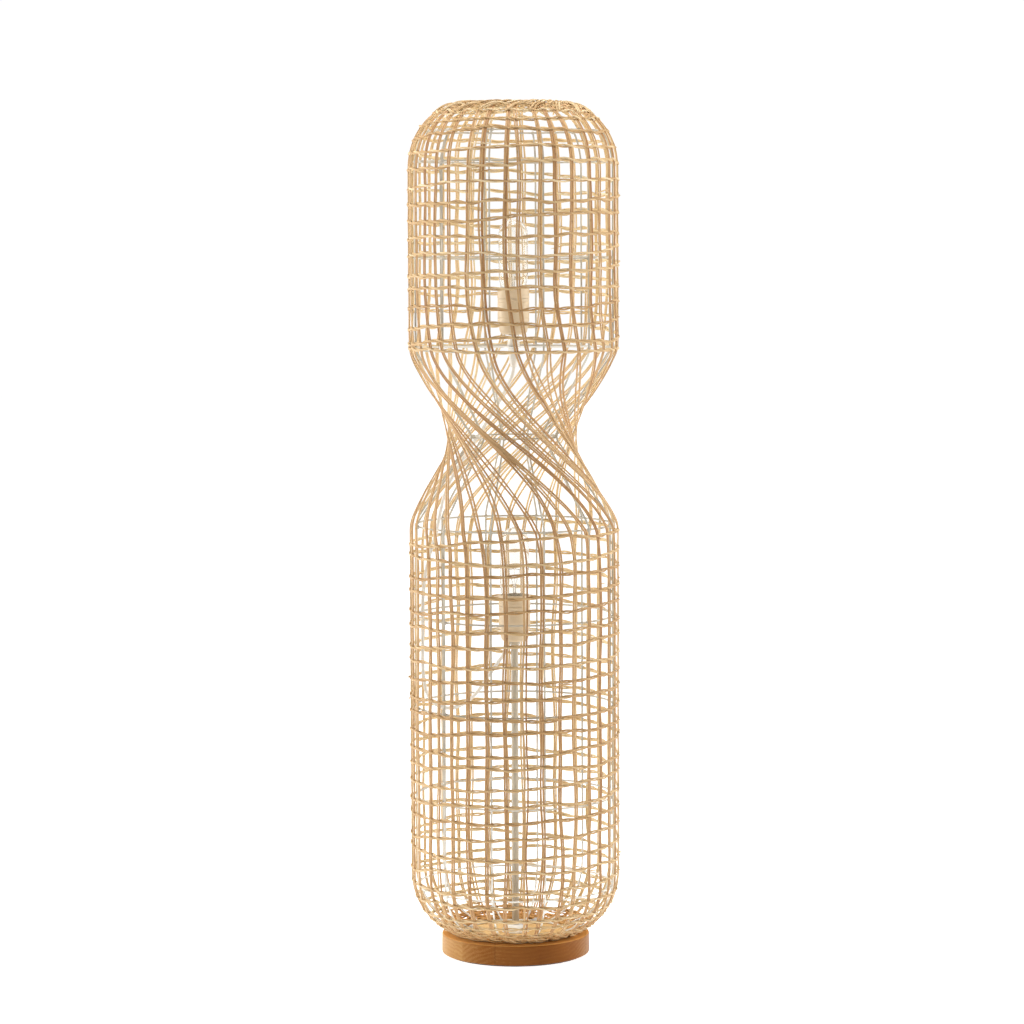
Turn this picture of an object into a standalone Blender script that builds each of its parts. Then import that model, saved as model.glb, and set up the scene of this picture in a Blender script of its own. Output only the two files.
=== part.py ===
"""Woven floor lamp: a wooden base, a welded wire frame, a basket shade with a twisted waist and two bulbs.

Metres, +Z up. The origin is the centre of the underside, on the floor. The lamp's axis is the Z axis, and the
front is towards -Y. Azimuths are measured from the front towards +X.
"""

import math

import bpy
from mathutils import Vector

# Driving dimensions
HEIGHT = 1.200
SHADE_RADIUS = 0.147
WAIST_RADIUS = 0.0905
BASE_RADIUS = 0.1045
BASE_TOP = 0.030
UPPER_BASKET_Z = 0.8576
LOWER_BASKET_Z = 0.6110
UPPER_HOLDER_Z = 0.8778
LOWER_HOLDER_Z = 0.4454
GAP = 0.0003

# Shade: both ends are quarter ellipses, and its skin stands for strands that cross over each other
DOME_START = 1.110
DOME_CENTRE = 0.070
RIM_OPENING = 0.065
BOWL_START = 0.118
BOWL_CENTRE = 0.0725
SKIN = 0.0015
SHADE_SIDES = 36
STIFF_SHARE = 0.6

# Wire frame
WIRE_RADIUS = 0.0015
WIRE_CLEARANCE = 2 * WIRE_RADIUS + GAP
FRAME_RADIUS = 0.142
FRAME_INSET = 0.0065
FRAME_TOP = 1.163
UPRIGHT_FOOT = 0.039
WAIST_RING_RADIUS = 0.0565
FOOT_RING_RADIUS = 0.0698
FOOT_RING_Z = BASE_TOP + GAP + WIRE_RADIUS
UPRIGHTS = 12
FIRST_UPRIGHT = 16.8
LOWER_RING_Z = 0.099
LOWER_RINGS = 4
WAIST_RING_Z = (UPPER_BASKET_Z + LOWER_BASKET_Z) / 2
BEND_DROP = 0.004
BEND_ROUND = 0.003
UPPER_RING_HEIGHTS = (UPPER_BASKET_Z, 0.985, 1.119, 1.161)
SCREW_CIRCLE = 0.0640
SCREW_COUNT = 3
SCREW_RADIUS = 0.0020
SCREW_BOTTOM = 0.017

# Base and stem
FELT_TOP = 0.0020
BALLAST_TOP = 0.0083
BALLAST_HOLE = 0.0080
POCKET_RADIUS = 0.030
POCKET_TOP = 0.024
LEAD_Z = 0.0128
GLAND_RADIUS = 0.0035
STEM_RADIUS = 0.005
STEM_WALL = 0.001
STEM_BOTTOM = 0.0195

# Bulb holders and bulbs
HOLDER_HEIGHT = 0.0656
HOLDER_BORE = STEM_RADIUS + GAP
BULB_SEAT = 0.0226
BULB_LENGTH = 0.1386
BULB_RADIUS = 0.0205
CROSSBAR_BOTTOM = UPPER_BASKET_Z + WIRE_RADIUS + GAP
CROSSBAR_TOP = CROSSBAR_BOTTOM + 0.002
GRIP_BOTTOM = 0.832
GRIP_BORE = 0.0033

# Cord from the lower holder, in a loop, up the cage's left side and through the waist to the upper cord grip
CORD_RADIUS = 0.0025
CORD_STEP = 0.014
CORD_ROUTE = [
    (-0.0115, 0.000, 0.4451),
    (-0.0115, 0.000, 0.4380),
    (-0.0130, 0.000, 0.4310),
    (-0.0190, 0.001, 0.4215),
    (-0.0330, 0.003, 0.4014),
    (-0.0460, 0.005, 0.3816),
    (-0.0600, 0.007, 0.3647),
    (-0.0760, 0.009, 0.3530),
    (-0.0950, 0.011, 0.3485),
    (-0.1130, 0.013, 0.3545),
    (-0.1250, 0.015, 0.3710),
    (-0.1295, 0.015, 0.3980),
    (-0.1300, 0.015, 0.4400),
    (-0.1300, 0.015, 0.4890),
    (-0.1280, 0.014, 0.5220),
    (-0.1235, 0.013, 0.5500),
    (-0.1170, 0.012, 0.5750),
    (-0.1095, 0.011, 0.6010),
    (-0.1035, 0.010, 0.6310),
    (-0.0945, 0.009, 0.6620),
    (-0.0780, 0.007, 0.6930),
    (-0.0600, 0.005, 0.7200),
    (-0.0440, 0.004, 0.7450),
    (-0.0300, 0.003, 0.7670),
    (-0.0190, 0.002, 0.7860),
    (-0.0095, 0.001, 0.8040),
    (-0.0025, 0.000, 0.8190),
    (0.0000, 0.000, 0.8290),
    (0.0000, 0.000, 0.8360),
]

# Kinds of finish: colour, roughness and metallic value
RATTAN = ((0.72, 0.52, 0.33), 0.60, 0.0)
BEECH = ((0.70, 0.44, 0.23), 0.45, 0.0)
WHITE_STEEL = ((0.88, 0.88, 0.86), 0.35, 0.0)
BARE_STEEL = ((0.60, 0.60, 0.60), 0.35, 1.0)
IRON = ((0.16, 0.16, 0.17), 0.60, 1.0)
FELT = ((0.10, 0.09, 0.08), 0.95, 0.0)
BEIGE_PLASTIC = ((0.78, 0.67, 0.52), 0.45, 0.0)
BRASS = ((0.80, 0.62, 0.30), 0.30, 1.0)
CERAMIC = ((0.90, 0.89, 0.85), 0.40, 0.0)
CLEAR_GLASS = ((0.95, 0.97, 0.97), 0.05, 0.0)
WHITE_PVC = ((0.88, 0.87, 0.84), 0.50, 0.0)


def clear_scene():
    for item in list(bpy.data.objects):
        bpy.data.objects.remove(item, do_unlink=True)


def new_collection(name):
    collection = bpy.data.collections.new(name)
    bpy.context.scene.collection.children.link(collection)
    return collection


def finish_of(name, kind):
    """A material of its own for one piece."""
    colour, roughness, metallic = kind
    material = bpy.data.materials.new(name)
    material.use_nodes = True
    shader = material.node_tree.nodes["Principled BSDF"]
    shader.inputs["Base Color"].default_value = (*colour, 1.0)
    shader.inputs["Roughness"].default_value = roughness
    shader.inputs["Metallic"].default_value = metallic
    return material


def move_to(collection, item):
    """Takes a new object out of the scene's own collection and puts it in this one."""
    for holding in list(item.users_collection):
        holding.objects.unlink(item)
    collection.objects.link(item)


def place(name, data, kind, location=(0, 0, 0)):
    """An object in the lamp's collection, with its material."""
    item = bpy.data.objects.new(name, data)
    item.location = location
    data.materials.append(finish_of(name, kind))
    lamp.objects.link(item)
    return item


def polar(radius, azimuth, z):
    """A point at an azimuth in degrees from the front towards +X."""
    angle = math.radians(azimuth)
    return Vector((radius * math.sin(angle), -radius * math.cos(angle), z))


def turned(name, outline, kind, location=(0, 0, 0), sides=20, closed=True):
    """A shape turned about Z from (radius, z) points that run down its outer side."""
    count = len(outline)
    edges = [(i, i + 1) for i in range(count - 1)]
    if closed:
        edges.append((count - 1, 0))
    mesh = bpy.data.meshes.new(name)
    mesh.from_pydata([(radius, 0.0, z) for radius, z in outline], edges, [])
    item = place(name, mesh, kind, location)
    screw = item.modifiers.new("turn", "SCREW")
    screw.angle = math.tau
    screw.steps = sides
    screw.render_steps = sides
    screw.use_merge_vertices = True
    screw.merge_threshold = 0.00005
    return item


def tube(name, points, radius, kind, resolution=1):
    """A round wire or cord along a line of points."""
    curve = bpy.data.curves.new(name, "CURVE")
    curve.dimensions = "3D"
    curve.bevel_depth = radius
    curve.bevel_resolution = resolution
    curve.use_fill_caps = True
    spline = curve.splines.new("POLY")
    spline.points.add(len(points) - 1)
    for knot, point in zip(spline.points, points):
        knot.co = (*point, 1.0)
    return place(name, curve, kind)


def cutter(name, radius, depth, location, rotation=(0, 0, 0)):
    """A cylinder that bores a hole."""
    bpy.ops.mesh.primitive_cylinder_add(
        vertices=16, radius=radius, depth=depth, location=location, rotation=rotation
    )
    item = bpy.context.active_object
    item.name = name
    move_to(cutters, item)
    item.hide_render = True
    item.display_type = "WIRE"
    return item


def cut(item, tool):
    boolean = item.modifiers.new(tool.name, "BOOLEAN")
    boolean.operation = "DIFFERENCE"
    boolean.object = tool


# Outlines of the shade and the frame


def twist_share(z):
    """How far a strand has crossed, from 0 at its upper end to 1 at its lower end."""
    share = (UPPER_BASKET_Z - z) / (UPPER_BASKET_Z - LOWER_BASKET_Z)
    clamped = 3 * share**2 - 2 * share**3
    return STIFF_SHARE * clamped + (1 - STIFF_SHARE) * share


def waist_radius(z):
    """Radius of the surface that the crossing strands lie on."""
    across = 1 - 2 * twist_share(z)
    return math.sqrt(WAIST_RADIUS**2 + across**2 * (SHADE_RADIUS**2 - WAIST_RADIUS**2))


def ellipse_end(centre, start, end, inset, steps):
    """A quarter ellipse from the basket's side at start to its end at the opening."""
    height = (end - start) - math.copysign(inset, end - start)
    width = SHADE_RADIUS - centre - inset
    angles = [math.pi / 2 * i / steps for i in range(steps + 1)]
    return [(centre + width * math.cos(a), start + height * math.sin(a)) for a in angles]


def steps_between(start, end, count):
    return [start + (end - start) * i / count for i in range(count + 1)]


def frame_radius(z):
    """Radius of an upright wire's centre line."""
    if z > DOME_START:
        height = HEIGHT - DOME_START - FRAME_INSET
        share = (z - DOME_START) / height
        return DOME_CENTRE + (FRAME_RADIUS - DOME_CENTRE) * math.sqrt(1 - share**2)
    if z < BOWL_START:
        height = BOWL_START - BASE_TOP - FRAME_INSET
        share = (BOWL_START - z) / height
        return BOWL_CENTRE + (FRAME_RADIUS - BOWL_CENTRE) * math.sqrt(max(0.0, 1 - share**2))
    half = WAIST_RING_Z - LOWER_BASKET_Z - BEND_DROP
    away = abs(z - WAIST_RING_Z)
    if away > half:
        return FRAME_RADIUS
    narrow = WAIST_RING_RADIUS + WIRE_CLEARANCE
    return narrow + (FRAME_RADIUS - narrow) * away / half


def ring_radius(z):
    """Radius of a ring that lies just inside the upright wires, which slope in the dome and the bowl."""
    step = 0.001
    slope = (frame_radius(z + step) - frame_radius(z - step)) / (2 * step)
    return frame_radius(z) - WIRE_CLEARANCE * math.hypot(1, slope)


# Pieces


def skin_slant(z):
    """How much wider a wall of the waist is across than through."""
    step = 0.001
    slope = (waist_radius(z + step) - waist_radius(z - step)) / (2 * step)
    return math.hypot(1, slope)


def shade():
    """Three thin skins of revolution, each run down its outside and back up its inside."""
    inside = SHADE_RADIUS - SKIN
    dome = ellipse_end(DOME_CENTRE, DOME_START, HEIGHT, 0, 5)
    dome_inside = ellipse_end(DOME_CENTRE, DOME_START, HEIGHT, SKIN, 5)
    upper_end = UPPER_BASKET_Z + GAP / 2
    upper = [(RIM_OPENING, HEIGHT)] + dome[::-1] + [(SHADE_RADIUS, upper_end)]
    upper += [(inside, upper_end)] + dome_inside + [(RIM_OPENING, HEIGHT - SKIN)]
    turned("upper_weave", upper, RATTAN, sides=SHADE_SIDES)

    heights = steps_between(UPPER_BASKET_Z - GAP / 2, LOWER_BASKET_Z + GAP / 2, 8)
    waist = [(waist_radius(z), z) for z in heights]
    waist += [(waist_radius(z) - SKIN * skin_slant(z), z) for z in heights[::-1]]
    turned("waist_weave", waist, RATTAN, sides=SHADE_SIDES)

    bowl = ellipse_end(BOWL_CENTRE, BOWL_START, BASE_TOP + GAP, 0, 5)
    bowl_inside = ellipse_end(BOWL_CENTRE, BOWL_START, BASE_TOP + GAP, SKIN, 5)
    lower_end = LOWER_BASKET_Z - GAP / 2
    lower = [(SHADE_RADIUS, lower_end)] + bowl + bowl_inside[::-1] + [(inside, lower_end)]
    turned("lower_weave", lower, RATTAN, sides=SHADE_SIDES)


def ring(name, radius, z):
    bpy.ops.mesh.primitive_torus_add(
        major_radius=radius,
        minor_radius=WIRE_RADIUS,
        major_segments=24,
        minor_segments=6,
        location=(0, 0, z),
    )
    item = bpy.context.active_object
    item.name = name
    item.data.name = name
    move_to(lamp, item)
    item.data.materials.append(finish_of(name, WHITE_STEEL))
    item.data.shade_smooth()


def frame_rings():
    ring("frame_foot_ring", FOOT_RING_RADIUS, FOOT_RING_Z)
    for i, z in enumerate(steps_between(LOWER_RING_Z, LOWER_BASKET_Z, LOWER_RINGS)):
        ring(f"frame_lower_ring_{i + 1}", ring_radius(z), z)
    ring("frame_waist_ring", WAIST_RING_RADIUS, WAIST_RING_Z)
    for i, z in enumerate(UPPER_RING_HEIGHTS):
        ring(f"frame_upper_ring_{i + 1}", ring_radius(z), z)


def upright_heights():
    """Heights of an upright's points, from its foot to its top, with two at each bend."""
    lower_bend = LOWER_BASKET_Z + BEND_DROP
    upper_bend = UPPER_BASKET_Z - BEND_DROP
    bends = [lower_bend, WAIST_RING_Z, upper_bend]
    heights = steps_between(UPRIGHT_FOOT, BOWL_START, 4)
    for bend in bends:
        heights += [bend - BEND_ROUND, bend + BEND_ROUND]
    return heights + steps_between(DOME_START, FRAME_TOP, 3)


def frame_uprights():
    beside_ring = WIRE_CLEARANCE * 0.75
    foot = (FOOT_RING_RADIUS + beside_ring, FOOT_RING_Z + beside_ring)
    line = [foot] + [(frame_radius(z), z) for z in upright_heights()]
    for i in range(UPRIGHTS):
        azimuth = FIRST_UPRIGHT + i * 360 / UPRIGHTS
        points = [polar(radius, azimuth, z) for radius, z in line]
        tube(f"frame_upright_{i + 1:02d}", points, WIRE_RADIUS, WHITE_STEEL)


def screw_azimuth(i):
    """Each screw stands halfway between two uprights."""
    return FIRST_UPRIGHT + 180 / UPRIGHTS + i * 360 / SCREW_COUNT


def frame_screws():
    """Flanged screws beside the foot ring, whose heads hold it down on the base."""
    under_head = FOOT_RING_Z + WIRE_RADIUS + GAP
    flange = 0.0072
    outline = [
        (0.0, under_head + 0.0045),
        (0.0035, under_head + 0.0040),
        (0.0040, under_head + 0.0020),
        (flange, under_head + 0.0015),
        (flange, under_head),
        (SCREW_RADIUS, under_head),
        (SCREW_RADIUS, SCREW_BOTTOM + SCREW_RADIUS),
        (0.0, SCREW_BOTTOM),
    ]
    for i in range(SCREW_COUNT):
        at = polar(SCREW_CIRCLE, screw_azimuth(i), 0)
        turned(f"frame_screw_{i + 1}", outline, BARE_STEEL, at, sides=12, closed=False)


def base():
    edge = 0.002
    bottom = FELT_TOP + GAP
    ballast_radius = 0.090
    felt_radius = 0.098
    wood = turned(
        "wood_base",
        [
            (STEM_RADIUS + GAP, BASE_TOP),
            (BASE_RADIUS - edge, BASE_TOP),
            (BASE_RADIUS - edge * 0.3, BASE_TOP - edge * 0.3),
            (BASE_RADIUS, BASE_TOP - edge),
            (BASE_RADIUS, bottom + edge),
            (BASE_RADIUS - edge, bottom),
            (ballast_radius + GAP, bottom),
            (ballast_radius + GAP, BALLAST_TOP + GAP),
            (POCKET_RADIUS, BALLAST_TOP + GAP),
            (POCKET_RADIUS, POCKET_TOP),
            (STEM_RADIUS + GAP, POCKET_TOP),
        ],
        BEECH,
        sides=SHADE_SIDES,
    )
    bore_middle = (0, (POCKET_RADIUS + BASE_RADIUS) / 2, LEAD_Z)
    cut(wood, cutter("lead_bore", GLAND_RADIUS + GAP, BASE_RADIUS, bore_middle, (math.pi / 2, 0, 0)))
    hole_depth = 2 * (BASE_TOP - SCREW_BOTTOM) + 4 * GAP
    for i in range(SCREW_COUNT):
        hole_middle = polar(SCREW_CIRCLE, screw_azimuth(i), BASE_TOP)
        cut(wood, cutter(f"screw_hole_{i + 1}", SCREW_RADIUS + GAP * 1.5, hole_depth, hole_middle))
    turned(
        "ballast_disc",
        [
            (BALLAST_HOLE, BALLAST_TOP),
            (ballast_radius, BALLAST_TOP),
            (ballast_radius, bottom),
            (BALLAST_HOLE, bottom),
        ],
        IRON,
        sides=SHADE_SIDES,
    )
    felt = [(0.0, FELT_TOP), (felt_radius, FELT_TOP), (felt_radius, 0.0), (0.0, 0.0)]
    turned("base_felt", felt, FELT, sides=SHADE_SIDES, closed=False)


def cord_gland():
    """A flanged bushing in the back of the base, turned about the Y axis."""
    bore = 0.0022
    gland = turned(
        "cord_gland",
        [
            (bore, 0.002),
            (0.0050, 0.002),
            (0.0062, 0.001),
            (0.0062, 0.0),
            (GLAND_RADIUS, 0.0),
            (GLAND_RADIUS, -0.016),
            (bore, -0.016),
        ],
        BEIGE_PLASTIC,
        (0, BASE_RADIUS + GAP, LEAD_Z),
        sides=16,
    )
    gland.rotation_euler = (-math.pi / 2, 0, 0)


def stem():
    """The tube from the base's pocket into the lower holder, with its flange and nuts."""
    stem_end = LOWER_HOLDER_Z + 0.0035
    turned(
        "stem_tube",
        [
            (STEM_RADIUS - STEM_WALL, stem_end),
            (STEM_RADIUS, stem_end),
            (STEM_RADIUS, STEM_BOTTOM),
            (STEM_RADIUS - STEM_WALL, STEM_BOTTOM),
        ],
        WHITE_STEEL,
    )
    flange_foot = BASE_TOP + GAP
    turned(
        "stem_flange",
        [
            (HOLDER_BORE, flange_foot + 0.010),
            (0.0085, flange_foot + 0.0098),
            (0.0130, flange_foot + 0.0085),
            (0.0175, flange_foot + 0.0055),
            (0.0198, flange_foot + 0.0015),
            (0.0200, flange_foot),
            (HOLDER_BORE, flange_foot),
        ],
        WHITE_STEEL,
    )
    # The hexagon's flats are nearer the axis than its corners, so its bore is drawn wider
    nut_bore = 0.0062
    nut_corner = 0.0095
    nut_top = POCKET_TOP - GAP
    nut = [
        (nut_bore, nut_top),
        (nut_corner, nut_top),
        (nut_corner, STEM_BOTTOM),
        (nut_bore, STEM_BOTTOM),
    ]
    turned("stem_base_nut", nut, BARE_STEEL, sides=6)
    collar_radius = 0.0075
    collar_top = LOWER_HOLDER_Z - GAP
    collar_bottom = collar_top - 0.005
    collar = [
        (HOLDER_BORE, collar_top),
        (collar_radius, collar_top),
        (collar_radius, collar_bottom),
        (HOLDER_BORE, collar_bottom),
    ]
    turned("stem_top_nut", collar, WHITE_STEEL)


def holder(prefix, z):
    """A screw holder for a bulb: cap, body, collar, threaded sleeve and contact block."""
    at = (0, 0, z)
    outside = 0.0222
    seam = 0.0170
    body_top = 0.0500
    collar_outside = 0.0225
    collar_bottom = body_top + GAP
    collar_edge = 0.0007
    sleeve = 0.0135
    sleeve_wall = 0.0006
    block = 0.0175
    block_top = 0.0217
    block_step = 0.0185
    turned(
        f"{prefix}_holder_cap",
        [
            (0.0180, seam),
            (0.0200, seam),
            (0.0200, 0.0080),
            (0.0190, 0.0035),
            (0.0165, 0.0008),
            (0.0150, 0.0),
            (HOLDER_BORE, 0.0),
            (HOLDER_BORE, 0.0025),
            (0.0150, 0.0025),
            (0.0180, 0.0080),
        ],
        BEIGE_PLASTIC,
        at,
    )
    turned(
        f"{prefix}_holder_body",
        [(0.0185, body_top), (outside, body_top), (outside, seam + GAP), (0.0185, seam + GAP)],
        BEIGE_PLASTIC,
        at,
    )
    turned(
        f"{prefix}_holder_collar",
        [
            (0.0186, HOLDER_HEIGHT),
            (collar_outside - collar_edge, HOLDER_HEIGHT),
            (collar_outside, HOLDER_HEIGHT - collar_edge),
            (collar_outside, collar_bottom + collar_edge),
            (collar_outside - collar_edge, collar_bottom),
            (0.0186, collar_bottom),
        ],
        BEIGE_PLASTIC,
        at,
    )
    turned(
        f"{prefix}_holder_sleeve",
        [
            (sleeve, 0.0470),
            (sleeve + sleeve_wall, 0.0470),
            (sleeve + sleeve_wall, block_top + GAP),
            (sleeve, block_top + GAP),
        ],
        BRASS,
        at,
    )
    turned(
        f"{prefix}_contact_block",
        [
            (0.0, BULB_SEAT - GAP),
            (0.0030, BULB_SEAT - 2 * GAP),
            (0.0040, block_step),
            (0.0120, block_step),
            (0.0120, block_top),
            (block, block_top),
            (block, 0.0090),
            (0.0, 0.0090),
        ],
        CERAMIC,
        at,
        closed=False,
    )


def bulb(prefix, z):
    """A clear tubular bulb, its parts under an empty on the axis that it unscrews about."""
    pivot = bpy.data.objects.new(f"{prefix}_bulb_pivot", None)
    pivot.location = (0, 0, z + BULB_SEAT)
    lamp.objects.link(pivot)
    neck = 0.0120
    neck_bottom = 0.0180
    neck_top = 0.0255
    side_bottom = 0.0640
    dome = 0.0206
    shoulder = [(0.0136, 0.0295), (0.0158, 0.0350), (0.0180, 0.0430), (0.0198, 0.0540)]
    glass_wall = 0.0008
    dome_angles = [math.pi / 2 * i / 4 for i in range(5)]
    outer = []
    for a in dome_angles:
        outer.append((BULB_RADIUS * math.sin(a), BULB_LENGTH - dome + dome * math.cos(a)))
    outer += [(BULB_RADIUS, side_bottom)] + shoulder[::-1] + [(neck, neck_top), (neck, neck_bottom)]
    inner = [(neck - glass_wall, neck_bottom), (neck - glass_wall, neck_top)]
    inner += [(radius - glass_wall, height) for radius, height in shoulder]
    inside = BULB_RADIUS - glass_wall
    inner += [(inside, side_bottom)]
    for a in dome_angles[::-1]:
        inner.append((inside * math.sin(a), BULB_LENGTH - dome + (dome - glass_wall) * math.cos(a)))
    pieces = [
        turned(f"{prefix}_bulb_glass", outer + inner, CLEAR_GLASS, sides=16, closed=False),
        turned(
            f"{prefix}_bulb_cap",
            [
                (0.0124, 0.0255),
                (0.0130, 0.0255),
                (0.0130, 0.0085),
                (0.0115, 0.0065),
                (0.0060, 0.0028),
                (0.0, 0.0028),
                (0.0, 0.0045),
                (0.0055, 0.0045),
                (0.0124, 0.0090),
            ],
            BRASS,
            sides=16,
        ),
        turned(
            f"{prefix}_bulb_mount",
            [
                (0.0, 0.1120),
                (0.0022, 0.1110),
                (0.0022, 0.1090),
                (0.0012, 0.1080),
                (0.0012, 0.0600),
                (0.0040, 0.0520),
                (0.0040, 0.0400),
                (0.0095, 0.0250),
                (0.0095, neck_bottom),
                (0.0, neck_bottom),
            ],
            CLEAR_GLASS,
            sides=12,
            closed=False,
        ),
        turned(
            f"{prefix}_bulb_contact",
            [(0.0, 0.0025), (0.0045, 0.0025), (0.0040, 0.0008), (0.0020, 0.0), (0.0, 0.0)],
            BRASS,
            sides=12,
            closed=False,
        ),
    ]
    for piece in pieces:
        piece.parent = pivot


def crossbar():
    """A flat strip over the ring, with a round eye for the upper holder and a spare hole."""
    half_length = ring_radius(UPPER_BASKET_Z)
    half_width = 0.008
    eye = 0.016
    spare_hole_x = 0.0486
    start = math.asin(half_width / eye)
    arc = [start + (math.pi - 2 * start) * i / 8 for i in range(9)]
    side = [Vector((eye * math.cos(a), eye * math.sin(a))) for a in arc]
    edge = [Vector((half_length, half_width))] + side + [Vector((-half_length, half_width))]
    outline = edge + [-point for point in edge]
    curve = bpy.data.curves.new("crossbar", "CURVE")
    curve.dimensions = "2D"
    curve.fill_mode = "BOTH"
    curve.extrude = (CROSSBAR_TOP - CROSSBAR_BOTTOM) / 2
    add_loop(curve, outline)
    add_loop(curve, circle(0.0050, 0.0, 12))
    add_loop(curve, circle(0.0020, spare_hole_x, 8))
    place("crossbar", curve, WHITE_STEEL, (0, 0, (CROSSBAR_TOP + CROSSBAR_BOTTOM) / 2))


def circle(radius, centre_x, sides):
    angles = [math.tau * i / sides for i in range(sides)]
    return [Vector((centre_x + radius * math.cos(a), radius * math.sin(a))) for a in angles]


def add_loop(curve, points):
    spline = curve.splines.new("POLY")
    spline.points.add(len(points) - 1)
    for knot, point in zip(spline.points, points):
        knot.co = (point.x, point.y, 0.0, 1.0)
    spline.use_cyclic_u = True


def upper_mount():
    """The conical nut under the upper holder, whose tube passes the crossbar into the cord grip."""
    nipple_bore = 0.0035
    tube_radius = 0.0047
    tube_bottom = 0.853
    turned(
        "upper_nipple",
        [
            (nipple_bore, UPPER_HOLDER_Z - GAP),
            (0.0070, UPPER_HOLDER_Z - GAP),
            (0.0072, 0.8720),
            (0.0092, 0.8640),
            (0.0092, CROSSBAR_TOP + GAP),
            (tube_radius, CROSSBAR_TOP + GAP),
            (tube_radius, tube_bottom),
            (nipple_bore, tube_bottom),
        ],
        WHITE_STEEL,
    )
    turned(
        "upper_cord_grip",
        [
            (tube_radius + GAP, CROSSBAR_BOTTOM - GAP),
            (0.0078, CROSSBAR_BOTTOM - GAP),
            (0.0076, 0.8520),
            (0.0045, GRIP_BOTTOM),
            (GRIP_BORE, GRIP_BOTTOM),
            (GRIP_BORE, tube_bottom - GAP),
            (tube_radius + GAP, tube_bottom - GAP),
        ],
        BEIGE_PLASTIC,
    )


def smooth_line(route, spacing):
    """Evenly spaced points of a smooth curve through the route's points."""
    knots = [Vector(point) for point in route]
    knots = [2 * knots[0] - knots[1]] + knots + [2 * knots[-1] - knots[-2]]
    fine = []
    for a, b, c, d in zip(knots, knots[1:], knots[2:], knots[3:]):
        for i in range(16):
            t = i / 16
            square = 2 * a - 5 * b + 4 * c - d
            cube = 3 * b - a - 3 * c + d
            fine.append(0.5 * (2 * b + (c - a) * t + square * t**2 + cube * t**3))
    fine.append(knots[-2])
    lengths = [0.0]
    for start, end in zip(fine, fine[1:]):
        lengths.append(lengths[-1] + (end - start).length)
    count = round(lengths[-1] / spacing)
    points = []
    j = 0
    for i in range(count + 1):
        wanted = lengths[-1] * i / count
        while j < len(fine) - 2 and lengths[j + 1] < wanted:
            j += 1
        share = (wanted - lengths[j]) / (lengths[j + 1] - lengths[j])
        points.append(fine[j].lerp(fine[j + 1], share))
    return points


clear_scene()
lamp = new_collection("woven_floor_lamp")
cutters = new_collection("cutters")
base()
cord_gland()
stem()
frame_rings()
frame_uprights()
frame_screws()
shade()
crossbar()
upper_mount()
holder("upper", UPPER_HOLDER_Z)
holder("lower", LOWER_HOLDER_Z)
bulb("upper", UPPER_HOLDER_Z)
bulb("lower", LOWER_HOLDER_Z)
tube("inner_cord", smooth_line(CORD_ROUTE, CORD_STEP), CORD_RADIUS, WHITE_PVC, 2)
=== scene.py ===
"""Looks of the woven floor lamp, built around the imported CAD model.

Metres, +Z up, the lamp's axis on Z and its front towards -Y. Azimuths are in degrees from the front
towards +X. A place on the shade is an azimuth and a run, which is the distance along the shade's wall
from the rim down.
"""

import math
import random

import bmesh
import bpy
import numpy as np
from mathutils import Matrix, Vector


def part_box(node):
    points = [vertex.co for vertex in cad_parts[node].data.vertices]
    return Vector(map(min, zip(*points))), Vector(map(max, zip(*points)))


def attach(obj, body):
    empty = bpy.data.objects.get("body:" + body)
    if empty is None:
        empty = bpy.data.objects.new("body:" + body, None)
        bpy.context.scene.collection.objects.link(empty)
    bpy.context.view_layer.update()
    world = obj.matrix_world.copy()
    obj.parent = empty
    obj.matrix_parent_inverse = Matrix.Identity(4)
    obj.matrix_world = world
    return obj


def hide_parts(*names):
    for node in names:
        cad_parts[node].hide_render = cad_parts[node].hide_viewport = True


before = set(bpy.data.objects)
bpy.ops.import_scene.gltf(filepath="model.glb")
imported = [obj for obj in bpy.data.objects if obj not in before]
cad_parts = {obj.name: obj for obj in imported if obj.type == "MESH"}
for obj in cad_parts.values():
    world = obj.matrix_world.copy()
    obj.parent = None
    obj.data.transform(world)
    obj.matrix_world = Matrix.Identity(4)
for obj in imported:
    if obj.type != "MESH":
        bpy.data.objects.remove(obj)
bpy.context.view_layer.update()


def low(node):
    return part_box(node)[0]


def high(node):
    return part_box(node)[1]


# Sizes read from the frame
HEIGHT = high("upper_weave").z
SHADE_RADIUS = high("upper_weave").x
UPPER_BASKET_Z = high("waist_weave").z
LOWER_BASKET_Z = low("waist_weave").z
BASE_TOP = high("wood_base").z
BASE_BOTTOM = low("wood_base").z
BASE_RADIUS = high("wood_base").x
UPPER_HOLDER_Z = low("upper_holder_cap").z
LOWER_HOLDER_Z = low("lower_holder_cap").z
WAIST_RING_Z = (low("frame_waist_ring").z + high("frame_waist_ring").z) / 2
WIRE_RADIUS = (high("frame_waist_ring").z - low("frame_waist_ring").z) / 2
STEM_RADIUS = high("stem_tube").x
STEM_TOP = high("stem_tube").z
CORD_RADIUS = 0.0025
GAP = 0.0003

# The shade's outline, as in the CAD model
DOME_START = 1.110
DOME_CENTRE = 0.070
BOWL_START = 0.118
BOWL_CENTRE = 0.0725
TWIST = 103
STIFF_SHARE = 0.6

# The wire frame, as in the CAD model
FRAME_RADIUS = 0.142
FRAME_INSET = 0.0065
FRAME_TOP = 1.163
UPRIGHT_FOOT = 0.039
UPRIGHTS = 12
FIRST_UPRIGHT = 16.8
WIRE_CLEARANCE = 2 * WIRE_RADIUS + GAP
BEND_DROP = 0.004

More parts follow.
